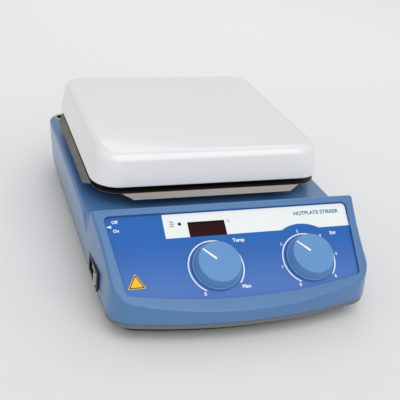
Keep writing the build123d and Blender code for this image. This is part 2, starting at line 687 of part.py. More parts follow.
def make_drive():
    """Motor, spindle, yoke and magnets, with their bracket and cover."""
    centre = Pos(0, PLATE_Y, 0)
    cover = disc(COVER_R, DECK_Z, COVER_TOP_Z) + disc(COVER_FLANGE_R, DECK_Z, DECK_Z + COVER_T)
    cover -= disc(COVER_R - COVER_T, DECK_Z, COVER_TOP_Z - COVER_T)
    bracket = block(-BRACKET_L / 2, BRACKET_L / 2, -BRACKET_W / 2, BRACKET_W / 2,
                    BRACKET_Z, BRACKET_Z + BRACKET_T)
    bracket -= disc(BEARING_R, BRACKET_Z, BRACKET_Z + BRACKET_T)
    screws = []
    for x, y in corners(BRACKET_SPAN_X, BRACKET_SPAN_Y):
        shank = disc(BRACKET_SCREW_R, BRACKET_Z, BRACKET_SCREW_TOP, x, y)
        bracket -= disc(BRACKET_HOLE_R, BRACKET_Z, DECK_Z, x, y)
        screws.append(shank + disc(BRACKET_HEAD_R, BRACKET_Z - BRACKET_HEAD_T, BRACKET_Z, x, y))
    can = disc(CAN_R, CAN_Z, BRACKET_Z) - disc(CAN_R - CAN_T, CAN_Z + CAN_T, BRACKET_Z)
    seat_z = CAN_Z + CAN_T
    can += ring(BEARING_R + CAN_T, BEARING_R, seat_z, seat_z + BEARING_H)
    can -= disc(SPINDLE_R + SPINDLE_CLEAR, CAN_Z, seat_z)
    bore_r = SPINDLE_R + SPINDLE_FIT
    bearings = [ring(BEARING_R, bore_r, z, z + BEARING_H) for z in (seat_z, BRACKET_Z - CAN_T / 2)]
    stator = ring(CAN_R - CAN_T, STATOR_IN_R, STATOR_Z, STATOR_TOP_Z)
    rotor = ring(ROTOR_R, SPINDLE_R, ROTOR_Z, ROTOR_TOP_Z)
    spindle = disc(SPINDLE_R, SPINDLE_Z, YOKE_Z + YOKE_T)
    yoke = block(-YOKE_L / 2, YOKE_L / 2, -YOKE_W / 2, YOKE_W / 2, YOKE_Z, YOKE_Z + YOKE_T)
    yoke -= disc(SPINDLE_R, YOKE_Z, YOKE_Z + YOKE_T)
    top = YOKE_Z + YOKE_T
    magnets = [disc(MAGNET_R, top, top + MAGNET_T, side * MAGNET_X) for side in (-1, 1)]
    parts["magnet_cover"] = centre * cover
    parts["motor_bracket"] = centre * bracket
    parts["bracket_screws"] = centre * joined(screws)
    parts["motor_can"] = centre * can
    parts["motor_bearings"] = centre * joined(bearings)
    parts["motor_stator"] = centre * stator
    parts["motor_rotor"] = centre * rotor
    parts["motor_spindle"] = centre * spindle
    parts["magnet_yoke"] = centre * yoke
    parts["drive_magnets"] = centre * joined(magnets)


def make_electronics():
    """Main board on its spacers, and the large components that stand on it."""
    top = BOARD_Z + BOARD_T
    x0, x1 = BOARD_X - BOARD_W / 2, BOARD_X + BOARD_W / 2
    parts["main_board"] = block(x0, x1, BOARD_Y - BOARD_L / 2, BOARD_Y + BOARD_L / 2, BOARD_Z, top)
    laminations = block(*CORE_X, *CORE_Y, top, top + CORE_H)
    coil = block(*COIL_X, *COIL_Y, top, top + COIL_H)
    parts["transformer"] = laminations + coil
    parts["capacitors"] = joined(disc(r, top, top + h, x, y) for r, h, x, y in CAPACITORS)
    sink = block(*SINK_X, *SINK_Y, top, top + SINK_H)
    for fin in range(FIN_COUNT):
        x = FIN_X + fin * FIN_PITCH
        sink += block(x, x + FIN_T, SINK_Y[1], FIN_END_Y, top, top + SINK_H)
    parts["heat_sink"] = sink
    parts["power_triac"] = block(*TRIAC_X, *TRIAC_Y, top + TRIAC_LIFT, top + TRIAC_TOP)
    reach_x = BOARD_W / 2 - SPACER_R
    reach_y = BOARD_L / 2 - SPACER_R
    return [disc(SPACER_R, PLATE_TOP_Z, BOARD_Z, x, y)
            for x, y in corners(reach_x, reach_y, BOARD_X, BOARD_Y)]


def make_rear():
    """Mains inlet with its fuse drawer, probe socket, and bushing for a support rod."""
    inlet = inlet_box(INLET_FLANGE_W, INLET_FLANGE_H, INLET_Z, INLET_FLANGE_T)
    inlet += inlet_box(INLET_BODY_W, INLET_BODY_H, INLET_Z, INLET_BODY_DEEP)
    inlet -= inlet_box(WELL_W, WELL_H, WELL_Z, WELL_DEEP)
    slot = inlet_box(DRAWER_W + 2 * DRAWER_GAP, DRAWER_H + 2 * DRAWER_GAP, DRAWER_Z,
                     DRAWER_DEEP + DRAWER_END_GAP)
    inlet -= slot
    screws = []
    for side in (-1, 1):
        x = INLET_X + side * INLET_SCREW_X
        shank = rear_disc(INLET_SCREW_R, x, INLET_Z, 0, 3 * WALL)
        head = rear_disc(INLET_HEAD_R, x, INLET_Z, 0, INLET_HEAD_T)
        inlet -= shank + head
        screws.append(shank + head)
    pins = [inlet_box(BLADE_T, BLADE_H, WELL_Z + dz, WELL_DEEP, WELL_DEEP - BLADE_L, INLET_X + dx)
            for dx, dz in BLADE_SPOTS]
    drawer = inlet_box(DRAWER_W, DRAWER_H, DRAWER_Z, DRAWER_DEEP)
    fuses = []
    for side in (-1, 1):
        fuse = rear_disc(FUSE_R, INLET_X + side * FUSE_X, DRAWER_Z, DRAWER_DEEP - FUSE_L, DRAWER_DEEP)
        drawer -= fuse
        fuses.append(fuse)
    socket = rear_disc(SOCKET_R, SOCKET_X, INLET_Z, 0, SOCKET_RIM_T)
    socket += rear_disc(SOCKET_BODY_R, SOCKET_X, INLET_Z, 0, SOCKET_DEEP)
    socket -= rear_disc(SOCKET_WELL_R, SOCKET_X, INLET_Z, 0, SOCKET_WELL_DEEP)
    contacts = []
    for index in range(SOCKET_PINS):
        angle = radians(SOCKET_PIN_START + SOCKET_PIN_SWEEP * index / SOCKET_PINS)
        x = SOCKET_X + SOCKET_PIN_RING * sin(angle)
        z = INLET_Z + SOCKET_PIN_RING * cos(angle)
        contacts.append(rear_disc(SOCKET_PIN_R, x, z, SOCKET_WELL_DEEP - SOCKET_PIN_L, SOCKET_WELL_DEEP))
    parts["mains_inlet"] = inlet
    parts["inlet_screws"] = joined(screws)
    parts["inlet_pins"] = joined(pins)
    parts["fuse_drawer"] = drawer
    parts["fuses"] = joined(fuses)
    parts["probe_socket"] = socket
    parts["probe_pins"] = joined(contacts)
    parts["rod_bushing"] = disc(ROD_BUSH_R, DECK_Z - ROD_DEEP - WALL, DECK_Z, ROD_X, ROD_Y) - disc(
        ROD_R, DECK_Z - ROD_DEEP, DECK_Z, ROD_X, ROD_Y)


parts["upper_housing"] = make_housing()
make_base()
spacers = make_panel()
make_dials()
make_switch()
make_plate()
make_drive()
spacers += make_electronics()
parts["board_spacers"] = joined(spacers)
make_rear()

os.makedirs("parts", exist_ok=True)
for name, shape in parts.items():
    export_step(shape, f"parts/{name}.step")
print(len(parts), "nodes")
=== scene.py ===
import bmesh
import bpy
import json
from math import atan2, cos, pi, radians, sin
from mathutils import Matrix, Vector


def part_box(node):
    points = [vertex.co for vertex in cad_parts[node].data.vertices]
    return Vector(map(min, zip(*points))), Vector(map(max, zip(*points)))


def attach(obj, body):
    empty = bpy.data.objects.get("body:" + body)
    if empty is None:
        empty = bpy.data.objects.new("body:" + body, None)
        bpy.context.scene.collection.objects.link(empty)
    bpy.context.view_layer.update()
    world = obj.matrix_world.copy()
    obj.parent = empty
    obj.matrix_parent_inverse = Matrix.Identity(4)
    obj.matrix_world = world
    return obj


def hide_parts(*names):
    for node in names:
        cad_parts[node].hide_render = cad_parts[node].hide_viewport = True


bl_info = {
    "name": "Hotplate Stirrer",
    "version": (1, 0, 0),
    "blender": (4, 5, 0),
    "location": "View3D > Sidebar > Stirrer",
    "description": "Finishes a laboratory hotplate stirrer piece by piece around its packed frame",
    "category": "Object",
}

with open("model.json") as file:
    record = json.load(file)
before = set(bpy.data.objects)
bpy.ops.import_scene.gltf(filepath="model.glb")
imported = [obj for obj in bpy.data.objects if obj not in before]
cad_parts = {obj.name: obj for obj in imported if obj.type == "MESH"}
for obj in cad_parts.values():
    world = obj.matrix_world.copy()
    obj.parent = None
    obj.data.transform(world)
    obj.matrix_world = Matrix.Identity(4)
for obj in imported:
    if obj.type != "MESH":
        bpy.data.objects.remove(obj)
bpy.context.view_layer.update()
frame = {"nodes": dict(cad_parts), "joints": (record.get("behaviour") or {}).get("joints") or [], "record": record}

MM = 0.001
JOINTS = {joint["name"]: joint for joint in frame["joints"]}
BODY_OF = {name: body for body, names in frame["record"]["behaviour"]["bodies"].items() for name in names}
SLOT_OF = {row["node"]: row["material_slot"] for row in frame["record"]["subparts"]}
WELD = 1e-6         # Points closer together than this, in metres, become one.
FINE_WELD = 1e-7    # The same, for pieces made here, whose points already meet.
PRINT_T = 0.05      # Thickness of a printed layer, in millimetres, and below it that of its lettering.
LETTER_T = 0.04
SOFT_SEGMENTS = 2   # Steps in a small edge rounding, and the fold that counts as an edge, in degrees.
SOFT_ANGLE = 40.0

# Where most of a noise texture's values lie, and where flecks of a second colour begin and are full.
NOISE_LOW, NOISE_HIGH = 0.3, 0.7
SPECK_START, SPECK_FULL = 0.66, 0.72

# Round stretches: steps in each.
PLATE_CORNER_STEPS, PLATE_EDGE_STEPS, SHIELD_CORNER_STEPS, LIP_STEPS = 14, 8, 10, 4
KNOB_STEPS, KNOB_EDGE_STEPS, ARC_STEPS, ARCH_STEPS = 72, 4, 80, 96
STRIP_CORNER_STEPS, SIGN_CORNER_STEPS = 6, 4

# Marks and lettering on the foil, in millimetres. Letters, then places across and up the slope.
LAST_NUMERAL = 6
NUMERAL, END_NUMERAL, NUMERAL_OUT = 3.2, 4.0, 3.0
TICK_HALF, TICK_LENGTH = 0.3, 1.5
DIAL_LABELS = (
    ("label_temp", "Temp", "temp", 4.2, 23.0, 21.0),
    ("label_max", "Max", "temp", 4.2, 20.5, -18.0),
    ("label_stir", "Stir", "stir", 4.2, 27.5, 21.0),
)
STRIP_LETTER, STRIP_WORDS_X, STRIP_WORDS_UP = 4.6, 74.0, 40.6
DEGREE_LETTER, DEGREE_RIGHT, DEGREE_DOWN = 3.0, 3.2, 1.6
BARS, BAR_LEFT, BAR_RIGHT, BAR_LOW, BAR_PITCH, BAR_T = 3, -52.0, -48.6, 36.4, 1.9, 0.9
SWITCH_LETTER = 3.6
SWITCH_WORDS = (("switch_off_word", "Off", -94.6, 43.6), ("switch_on_word", "On", -94.4, 36.2))
ARROW_TIP, ARROW_TAIL, ARROW_UP, ARROW_HALF = -101.6, -97.6, 39.9, 1.3
SIGN_CORNER = 0.8
SIGN_LAYERS = (("sign_edge", "yellow_print", 0.0), ("sign_border", "black_print", 1.0),
               ("sign_face", "yellow_print", 2.4))

# Studio: light strengths, then places in metres and turns in degrees.
FLOOR_HALF = 6.0
AIR_STRENGTH = 0.60
KEY_ENERGY, KEY_SPREAD, KEY_FROM = 1.5, 70, (0.0, -0.62, 0.78)
BOX_ENERGY, BOX_SIZE, BOX_SPOT = 1.2, 0.7, (0.35, 0.9, 0.9)
VIEW_AZIMUTH, VIEW_ELEVATION, VIEW_ROLL = -20.3, 27.0, 6.1
VIEW_DISTANCE, VIEW_TARGET = 0.700, (0.0085, 0.0021, 0.0326)
VIEW_SENSOR, VIEW_LENS, VIEW_REACH = 36.0, 67.5, 50.0


# ---------------------------------------------------------------- sizes and colours

def size(name, description, default):
    """A length property, with its default given in millimetres."""
    return bpy.props.FloatProperty(name=name, description=description, default=default * MM, unit="LENGTH",
                                   precision=5)


def turn(name, description, default):
    """An angle property, with its default given in degrees."""
    return bpy.props.FloatProperty(name=name, description=description, default=radians(default),
                                   subtype="ANGLE")


def colour(name, description, default):
    """A colour property kept as a six-digit sRGB hex word."""
    return bpy.props.StringProperty(name=name, description=description, default=default)


class StirrerPlateSizes(bpy.types.PropertyGroup):
    """Heating plate and the heat shield under it."""
    corner: size("Corner radius", "Plan radius of the plate's corners", 23.0)
    wall: size("Wall", "Thickness of the glazed skirt", 4.0)
    roof: size("Roof", "Thickness of the glazed top", 5.0)
    draft: size("Draft", "How far the skirt leans in from its foot to its top", 4.5)
    edge: size("Edge radius", "Rounding between the top and the skirt", 7.0)
    foot_edge: size("Foot rounding", "Rounding of the skirt's lower rim", 0.8)
    shield_half: size("Shield half width", "Half the width of the flat part of the shield", 100.5)
    shield_corner: size("Shield corner", "Plan radius of the shield's corners", 22.0)
    sheet: size("Sheet", "Thickness of the shield's sheet", 0.8)
    lip_end: size("Lip end", "Width of a lip along its free edge", 141.0)
    lip_drop: size("Lip drop", "Height that a lip falls below the sheet", 4.5)
    hem: size("Hem", "Flat rim along a lip's free edge", 0.8)
    lip_bend: size("Lip bend", "Radius of the fold at a lip's root", 1.6)


class StirrerDialSizes(bpy.types.PropertyGroup):
    """The two knobs and the scales printed round them."""
    top: size("Top radius", "Radius of the flat top", 16.8)
    skirt: size("Skirt radius", "Radius at the foot of the tapered side", 18.6)
    flange: size("Flange radius", "Radius of the collar next to the panel", 19.6)
    lift: size("Lift", "Gap between the collar and the panel", 0.6)
    collar: size("Collar", "Thickness of the collar", 2.0)
    groove: size("Groove", "Width and depth of the groove over the collar", 0.6)
    height: size("Height", "Top of the knob over the panel", 10.8)
    cavity: size("Cavity radius", "Radius of the hollow under the knob", 14.0)
    cavity_height: size("Cavity height", "Roof of the hollow over the panel", 6.0)
    hub: size("Hub radius", "Radius of the boss on the shaft", 6.0)
    hub_gap: size("Hub gap", "Foot of the boss over the panel", 3.4)
    rounding: size("Rounding", "Rounding of the knob's edges", 0.8)
    pointer_width: size("Pointer width", "Width of the white pointer line", 1.5)
    pointer_start: size("Pointer start", "Distance of the pointer's inner end from the axis", 3.0)
    pointer_turn: turn("Pointer turn", "Turn of the pointer to the left of straight up", 46.0)
    scale_radius: size("Scale radius", "Radius of the printed arc", 22.0)
    scale_width: size("Scale width", "Width of the printed arc", 1.1)
    scale_start: turn("Scale start", "Where the scale begins, left of straight up", 148.0)
    scale_sweep: turn("Scale sweep", "Angle from the first mark to the last", 280.0)


class StirrerPrintSizes(bpy.types.PropertyGroup):
    """Printing on the foil, measured up the slope from the line of the dials."""
    thickness: size("Print height", "How far the print stands off the foil", 0.05)
    strip_left: size("Strip left", "Left end of the white strip", -57.0)
    strip_right: size("Strip right", "Right end of the white strip at its top", 102.2)
    strip_slant: size("Strip slant", "How far the right end leans in at its foot", 1.9)
    strip_top: size("Strip top", "Top edge of the white strip", 47.4)
    strip_low: size("Strip foot", "Lower edge of the white strip", 26.7)
    arch: size("Arch radius", "Radius of the blue arch over the right dial", 31.3)
    strip_corner: size("Strip corner", "Rounding of the strip's upper right corner", 3.5)
    # The black band round the display is the lens's own black rim; doubled along the top, it is painted shadow of
    # the recess.
    surround_and_shadow: size("Surround", "Width of the black band round the display", 0.9)
    lamp_up: size("Lamp up", "Height of the lamp up the slope", 38.5)
    sign_x: size("Sign across", "Middle of the warning triangle, across", -86.0)
    sign_up: size("Sign up", "Middle of the warning triangle, up the slope", -8.0)
    sign: size("Sign size", "Radius of the circle round the triangle", 8.1)


class StirrerColours(bpy.types.PropertyGroup):
    """Main colours, as sRGB hex."""
    coat: colour("Powder coat", "Blue coat of the casting", "4A79AC")
    coat_shade: colour("Powder coat, second", "Slightly deeper blue that the coat drifts to", "4471A3")
    foil: colour("Foil", "Deep blue at the top of the foil", "1B5FAF")
    # Foil foot: this paler blue is a painted reflection, not a printed colour.
    foil_foot_reflection: colour("Foil foot", "Paler blue at the foot of the foil", "4C74B9")
    knob: colour("Knob", "Mid blue of the moulded knobs", "6494C8")
    glaze: colour("Glaze", "White of the glazed plate", "E6E6E7")
    ink: colour("White ink", "White of the printed marks", "E9EFED")
    blue_ink: colour("Blue ink", "Blue of the lettering on the strip", "3D6CA6")
    sign: colour("Sign", "Yellow of the warning triangle", "F2C200")
    floor: colour("Floor", "Pale studio floor", "E6E6E6")


# ---------------------------------------------------------------- colour and node helpers

def linear(code):
    """An sRGB hex word as a linear RGBA colour."""
    channels = [int(code[i:i + 2], 16) / 255 for i in (0, 2, 4)]
    bent = [c / 12.92 if c <= 0.04045 else ((c + 0.055) / 1.055) ** 2.4 for c in channels]
    return (*bent, 1.0)


def add(tree, kind, settings=None, inputs=None):
    """Adds one node, sets its properties, then fills or links its input sockets."""
    new = tree.nodes.new(kind)
    for key, value in (settings or {}).items():
        setattr(new, key, value)
    for key, value in (inputs or {}).items():
        if isinstance(value, bpy.types.NodeSocket):
            tree.links.new(value, new.inputs[key])
        else:
            new.inputs[key].default_value = value
    return new


def per_metre(millimetres):
    """Texture scale for a feature of that size, in object coordinates."""
    return 1.0 / (millimetres * MM)


def new_material(name):
    """An empty node material with its output node."""
    material = bpy.data.materials.new(name)
    material.use_nodes = True
    tree = material.node_tree
    tree.nodes.clear()
    return material, tree, add(tree, "ShaderNodeOutputMaterial")


def object_space(tree, stretch):
    """Object coordinates, stretched for a pattern."""
    where = add(tree, "ShaderNodeTexCoord")
    return add(tree, "ShaderNodeMapping", inputs={
        "Vector": where.outputs["Object"], "Scale": stretch}).outputs["Vector"]


def surface(name, first, second, drift=40.0, grain=0.6, relief=0.02, rough=(0.35, 0.45),
            stretch=(1.0, 1.0, 1.0), metallic=0.0, detail=4.0, speck=None, speck_share=0.08, **shader):
    """A finish with slow colour drift, a grain that lifts the surface, and uneven gloss.

    drift, grain and relief are in millimetres; rough is the range of the roughness; speck is the colour
    of scattered flecks. Other names are the shader's own sockets.
    """
    material, tree, output = new_material(name)
    place = object_space(tree, stretch)
    slow = add(tree, "ShaderNodeTexNoise", inputs={
        "Vector": place, "Scale": per_metre(drift), "Detail": 3.0})
    fine = add(tree, "ShaderNodeTexNoise", inputs={
        "Vector": place, "Scale": per_metre(grain), "Detail": detail})
    tint = add(tree, "ShaderNodeMix", {"data_type": "RGBA"}, {
        "Factor": slow.outputs["Fac"], "A": linear(first), "B": linear(second)}).outputs["Result"]
    if speck:
        mask = add(tree, "ShaderNodeMapRange", inputs={
            "Value": fine.outputs["Fac"], "From Min": SPECK_START - speck_share,
            "From Max": SPECK_FULL - speck_share})
        tint = add(tree, "ShaderNodeMix", {"data_type": "RGBA"}, {
            "Factor": mask.outputs["Result"], "A": tint, "B": linear(speck)}).outputs["Result"]
    gloss = add(tree, "ShaderNodeMapRange", inputs={
        "Value": slow.outputs["Fac"], "From Min": NOISE_LOW, "From Max": NOISE_HIGH,
        "To Min": rough[0], "To Max": rough[1]})
    bump = add(tree, "ShaderNodeBump", inputs={
        "Height": fine.outputs["Fac"], "Strength": 1.0, "Distance": relief * MM})
    sockets = {key.replace("_", " ").title().replace("Ior", "IOR"): value for key, value in shader.items()}
    shade = add(tree, "ShaderNodeBsdfPrincipled", inputs={
        "Base Color": tint, "Metallic": metallic, "Roughness": gloss.outputs["Result"],
        "Normal": bump.outputs["Normal"], **sockets})
    tree.links.new(shade.outputs["BSDF"], output.inputs["Surface"])
    return material


# ---------------------------------------------------------------- materials

def powder_coat(colours):
    """Powder-coated cast aluminium: satin blue with the soft pebble of a baked coat."""
    return surface("powder_coated_casting", colours.coat, colours.coat_shade, drift=60.0, grain=1.1,
                   relief=0.030, rough=(0.36, 0.44), detail=2.0, coat_weight=0.9, coat_roughness=0.32,
                   coat_ior=1.5, specular_ior_level=0.25)


def printed_foil(colours):
    """Back-printed polycarbonate foil: deep blue, with a painted reflection that pales it down the slope, under a
    satin skin.
    """
    material, tree, output = new_material("printed_polycarbonate_foil")
    where = add(tree, "ShaderNodeTexCoord").outputs["Object"]
    height = add(tree, "ShaderNodeSeparateXYZ", inputs={"Vector": where}).outputs["Z"]
    low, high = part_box("front_foil")
    # Painted reflection: the blue goes from the paler foot colour at the lowest point to the deep blue three
    # quarters of the way up.
    reflection_fade = add(tree, "ShaderNodeMapRange", {"interpolation_type": "SMOOTHSTEP"}, {
        "Value": height, "From Min": low.z, "From Max": low.z + 0.75 * (high.z - low.z)})
    blue = add(tree, "ShaderNodeMix", {"data_type": "RGBA"}, {
        "Factor": reflection_fade.outputs["Result"], "A": linear(colours.foil_foot_reflection), "B": linear(colours.foil)})
    # A fine screen-printed skin: 0.5 mm frosting, drawn coarser than the real 0.05 mm so that it shows.
    frost = add(tree, "ShaderNodeTexNoise", inputs={"Vector": where, "Scale": per_metre(0.5), "Detail": 3.0})
    slow = add(tree, "ShaderNodeTexNoise", inputs={"Vector": where, "Scale": per_metre(45.0), "Detail": 2.0})
    gloss = add(tree, "ShaderNodeMapRange", inputs={
        "Value": slow.outputs["Fac"], "To Min": 0.30, "To Max": 0.42})
    bump = add(tree, "ShaderNodeBump", inputs={
        "Height": frost.outputs["Fac"], "Strength": 1.0, "Distance": 0.006 * MM})
    shade = add(tree, "ShaderNodeBsdfPrincipled", inputs={
        "Base Color": blue.outputs["Result"], "Roughness": gloss.outputs["Result"], "IOR": 1.58,
        "Specular IOR Level": 0.22, "Normal": bump.outputs["Normal"]})
    tree.links.new(shade.outputs["BSDF"], output.inputs["Surface"])
    return material


def rolled_steel(name, first, second, direction, rough=(0.22, 0.34)):
    """Cold-rolled stainless sheet: grey with fine lines along the rolling direction."""
    return surface(name, first, second, drift=18.0, grain=1.4, relief=0.006, rough=rough, stretch=direction,
                   metallic=1.0, detail=6.0, anisotropic=0.35)


def slot_materials(colours):
    """One finish for every material slot of the record."""
    return {
        # Powder coat over cast aluminium.
        "cast_blue": powder_coat(colours),
        # Injection-moulded ABS, spark-eroded grain: dull mid grey.
        "grey_base": surface("moulded_grey_abs", "6A7076", "62686F", grain=0.7, relief=0.02,
                             rough=(0.45, 0.55)),
        # Black glass-filled nylon: nearly matt, with faint pale fibres.
        "black_pan": surface("black_glass_filled_nylon", "0E0E0F", "151516", grain=0.8, relief=0.03,
                             rough=(0.55, 0.7), speck="26272A", speck_share=0.05),
        # Moulded nitrile rubber: black with a dusty bloom.
        "rubber": surface("nitrile_rubber", "0B0B0B", "171717", drift=9.0, grain=0.5, relief=0.02,
                          rough=(0.7, 0.85)),
        # Printed polycarbonate foil over the dials, with a painted reflection paling it towards its foot.
        "foil": printed_foil(colours),
        # Smoked red acrylic: almost black, mirror-smooth, red only where light gets through.
        "window": surface("smoked_red_acrylic", "160406", "1B0508", drift=25.0, grain=6.0, relief=0.002,
                          rough=(0.06, 0.10), ior=1.49, specular_ior_level=0.12),
        # Moulded ABS knob: satin blue with an even spark-eroded grain.
        "knob": surface("moulded_blue_abs", colours.knob, "5D8CC0", drift=30.0, grain=0.55, relief=0.012,
                        rough=(0.40, 0.48), detail=2.0, specular_ior_level=0.35),
        # White moulded ABS inlay.
        "white_plastic": surface("white_abs", "F3F4F5", "E9EBEC", drift=6.0, grain=0.5, relief=0.006,
                                 rough=(0.4, 0.5)),
        # Black polyamide switch and connector bodies: a low even sheen.
        "black_plastic": surface("black_polyamide", "101112", "17181A", grain=0.6, relief=0.012,
                                 rough=(0.32, 0.45)),
        # Pale grey-green polyamide of the switch rocker: smooth, with a low sheen.
        "rocker": surface("pale_grey_polyamide", "B4B7AE", "A9ADA5", drift=12.0, grain=0.5, relief=0.010,
                          rough=(0.3, 0.4)),
        # Vitreous enamel: glossy white with the faint orange peel and tiny pits of a fired glaze.
        "enamel": surface("fired_white_enamel", colours.glaze, "E0E1E3", drift=55.0, grain=5.0, relief=0.012,
                          rough=(0.10, 0.16), detail=1.0, coat_weight=0.6, coat_roughness=0.05),
        # Rolled stainless sheet: warm grey with fine lines and a soft streaked reflection.
        "steel": rolled_steel("rolled_stainless_sheet", "8E8985", "7B7672", (0.06, 1.0, 1.0), (0.32, 0.46)),
        # Zinc-plated steel fasteners: pale metal with a faint yellow and blue passivation cast.
        "bright_steel": surface("zinc_plated_steel", "C9CACB", "BEBFB4", drift=3.0, grain=0.4, relief=0.01,
                                rough=(0.25, 0.38), metallic=1.0),
        # Turned aluminium: light metal with close tool lines.
        "aluminium": surface("machined_aluminium", "C4C5C7", "B6B8BB", drift=14.0, grain=0.9, relief=0.010,
                             rough=(0.28, 0.40), stretch=(1.0, 1.0, 6.0), metallic=1.0),
        # Turned brass, slightly tarnished: warm yellow metal with browner patches.
        "brass": surface("turned_brass", "C9A24E", "A9853F", drift=5.0, grain=0.4, relief=0.01,
                         rough=(0.25, 0.4), metallic=1.0),
        # Circuit board: green solder mask with copper tracks showing through as a paler pattern.
        "board": surface("green_solder_mask", "135A31", "0F4A29", drift=20.0, grain=2.4, relief=0.02,
                         rough=(0.3, 0.4), stretch=(1.0, 0.25, 1.0), speck="2F8A50", speck_share=0.16),
        # Ceramic fibre blanket: matt off-white, matted.
        "wool": surface("ceramic_fibre", "E6E1D4", "D2CCBD", drift=12.0, grain=1.6, relief=0.25,
                        rough=(0.9, 1.0), sheen_weight=0.3),
        # Mica heater sheet: silvery brown flakes.
        "mica": surface("mica_sheet", "8C7A5C", "A8977A", drift=8.0, grain=3.0, relief=0.02, rough=(0.2, 0.4),
                        speck="C9BC9E", speck_share=0.1),
        # Unglazed steatite: chalky off-white.
        "ceramic": surface("unglazed_steatite", "E3DECF", "D8D2C2", drift=6.0, grain=0.4, relief=0.02,
                           rough=(0.6, 0.75)),
        # Varnished electrical steel: dark with stacked edge lines.
        "iron": surface("laminated_steel", "4A4A4C", "3A3B3D", drift=10.0, grain=1.0, relief=0.05,
                        rough=(0.4, 0.55), stretch=(0.1, 0.1, 2.0), metallic=0.8),
        # Nickel-plated magnets: bright, slightly warm.
        "magnet": surface("nickel_plate", "BDB9AE", "AFABA0", drift=7.0, grain=0.6, relief=0.004,
                          rough=(0.15, 0.25), metallic=1.0),
        # Clear glass fuse bodies: pale and glossy.
        "glass": surface("clear_fuse_glass", "DCE6E6", "CBD8D8", drift=4.0, grain=3.0, relief=0.002,
                         rough=(0.03, 0.06), transmission_weight=0.7, ior=1.5),
        # Braided glass sleeving on the heater leads: cream with an open weave.
        "sleeve": surface("braided_glass_sleeve", "DDD6C4", "C6BEA9", drift=3.0, grain=0.5, relief=0.08,
                          rough=(0.7, 0.85)),
    }


def print_ink(name, first, second, rough=(0.4, 0.5)):
    """Screen-printed ink: a thin even film, a little duller than the foil under it."""
    return surface(name, first, second, drift=10.0, grain=0.6, relief=0.003, rough=rough)


# ---------------------------------------------------------------- piece helpers

def finish_piece(bm, name, body, material, replaces=(), bevel=0.0, smooth_angle=35.0,
                 check_normals=True):
    """Turns a bmesh into a named object on its body, with its finish."""
    bmesh.ops.remove_doubles(bm, verts=bm.verts, dist=FINE_WELD)
    if check_normals:
        bmesh.ops.recalc_face_normals(bm, faces=bm.faces)
    for face in bm.faces:
        face.smooth = True
    for edge in bm.edges:
        edge.smooth = edge.calc_face_angle(0.0) < radians(smooth_angle)
    mesh = bpy.data.meshes.new(name)
    bm.to_mesh(mesh)
    bm.free()
    piece = bpy.data.objects.new(name, mesh)
    bpy.context.scene.collection.objects.link(piece)
    mesh.materials.append(material)
    if bevel > 0:
        soften = piece.modifiers.new("soft_edges", "BEVEL")
        soften.width = bevel
        soften.segments = SOFT_SEGMENTS
        soften.limit_method = "ANGLE"
        soften.angle_limit = radians(SOFT_ANGLE)
    even = piece.modifiers.new("even_shading", "WEIGHTED_NORMAL")
    even.keep_sharp = True
    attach(piece, body)
    if replaces:
        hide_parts(*replaces)
    return piece


def joined_copy(node, name, material, bevel=0.0):
    """A CAD node's shape with its loose triangles joined up, so that its curves shade smoothly."""
    bm = bmesh.new()
    bm.from_mesh(frame["nodes"][node].data)
    bmesh.ops.remove_doubles(bm, verts=bm.verts, dist=WELD)
    return finish_piece(bm, name, BODY_OF[node], material, (node,), bevel, check_normals=False)


def rounded_square(bm, half, corner, segments, z):
    """A flat square face with round corners, and returns it."""
    bmesh.ops.create_grid(bm, x_segments=1, y_segments=1, size=half)
    bmesh.ops.bevel(bm, geom=bm.verts[:], offset=corner, segments=segments, profile=0.5, affect="VERTICES",
                    material=-1)
    bmesh.ops.translate(bm, vec=(0, 0, z), verts=bm.verts)
    return bm.faces[:][0]


def raise_face(bm, face, lift, spread=1.0):
    """Extrudes a face along Z and scales its new outline; returns the new face."""
    grown = bmesh.ops.extrude_face_region(bm, geom=[face])["geom"]
    verts = [item for item in grown if isinstance(item, bmesh.types.BMVert)]
    bmesh.ops.translate(bm, vec=(0, 0, lift), verts=verts)
    bmesh.ops.scale(bm, vec=(spread, spread, 1), verts=verts)
    if face.is_valid:
        bmesh.ops.delete(bm, geom=[face], context="FACES_ONLY")
    return [item for item in grown if isinstance(item, bmesh.types.BMFace)][0]


def panel_frame():
    """Matrix of the sloping panel: middle of the dial line, X across, Y up the slope, Z out of it."""
    joint = JOINTS["temp_dial_turn"]
    normal = -Vector(joint["axis"]).normalized()
    across = Vector((1, 0, 0))
    up = normal.cross(across)
    spot = Vector(joint["pos_m"])
    spot.x = 0
    return Matrix.Translation(spot) @ Matrix((across, up, normal)).transposed().to_4x4()


def window_edges():
    """Left, right and top edges of the display window, in the panel's frame."""
    slope = panel_frame().inverted()
    spots = [slope @ vert.co for vert in frame["nodes"]["display_window"].data.vertices]
    return min(p.x for p in spots), max(p.x for p in spots), max(p.y for p in spots)


def point_up(bm):
    """Turn of a triangle's nearest corner away from straight up."""
    turns = [atan2(vert.co.y, vert.co.x) - pi / 2 for vert in bm.verts]
    return min(turns, key=abs)


def everything(bm):
    """All points, edges and faces of a bmesh."""
    return bm.verts[:] + bm.edges[:] + bm.faces[:]


def flat_outline(bm, points):
    """One face through a list of flat points."""
    return bm.faces.new([bm.verts.new((x, y, 0)) for x, y in points])


def thicken(bm, thickness):
    """Gives every flat face a thickness along Z."""
    grown = bmesh.ops.extrude_face_region(bm, geom=bm.faces[:])["geom"]
    verts = [item for item in grown if isinstance(item, bmesh.types.BMVert)]
    bmesh.ops.translate(bm, vec=(0, 0, thickness), verts=verts)


def print_piece(bm, name, material, lift=0.0, thickness=PRINT_T * MM):
    """Lays flat artwork, drawn in the panel's frame, on the foil."""
    thicken(bm, thickness)
    bmesh.ops.translate(bm, vec=(0, 0, lift), verts=bm.verts)
    bmesh.ops.transform(bm, matrix=panel_frame(), verts=bm.verts)
    return finish_piece(bm, name, "root", material)


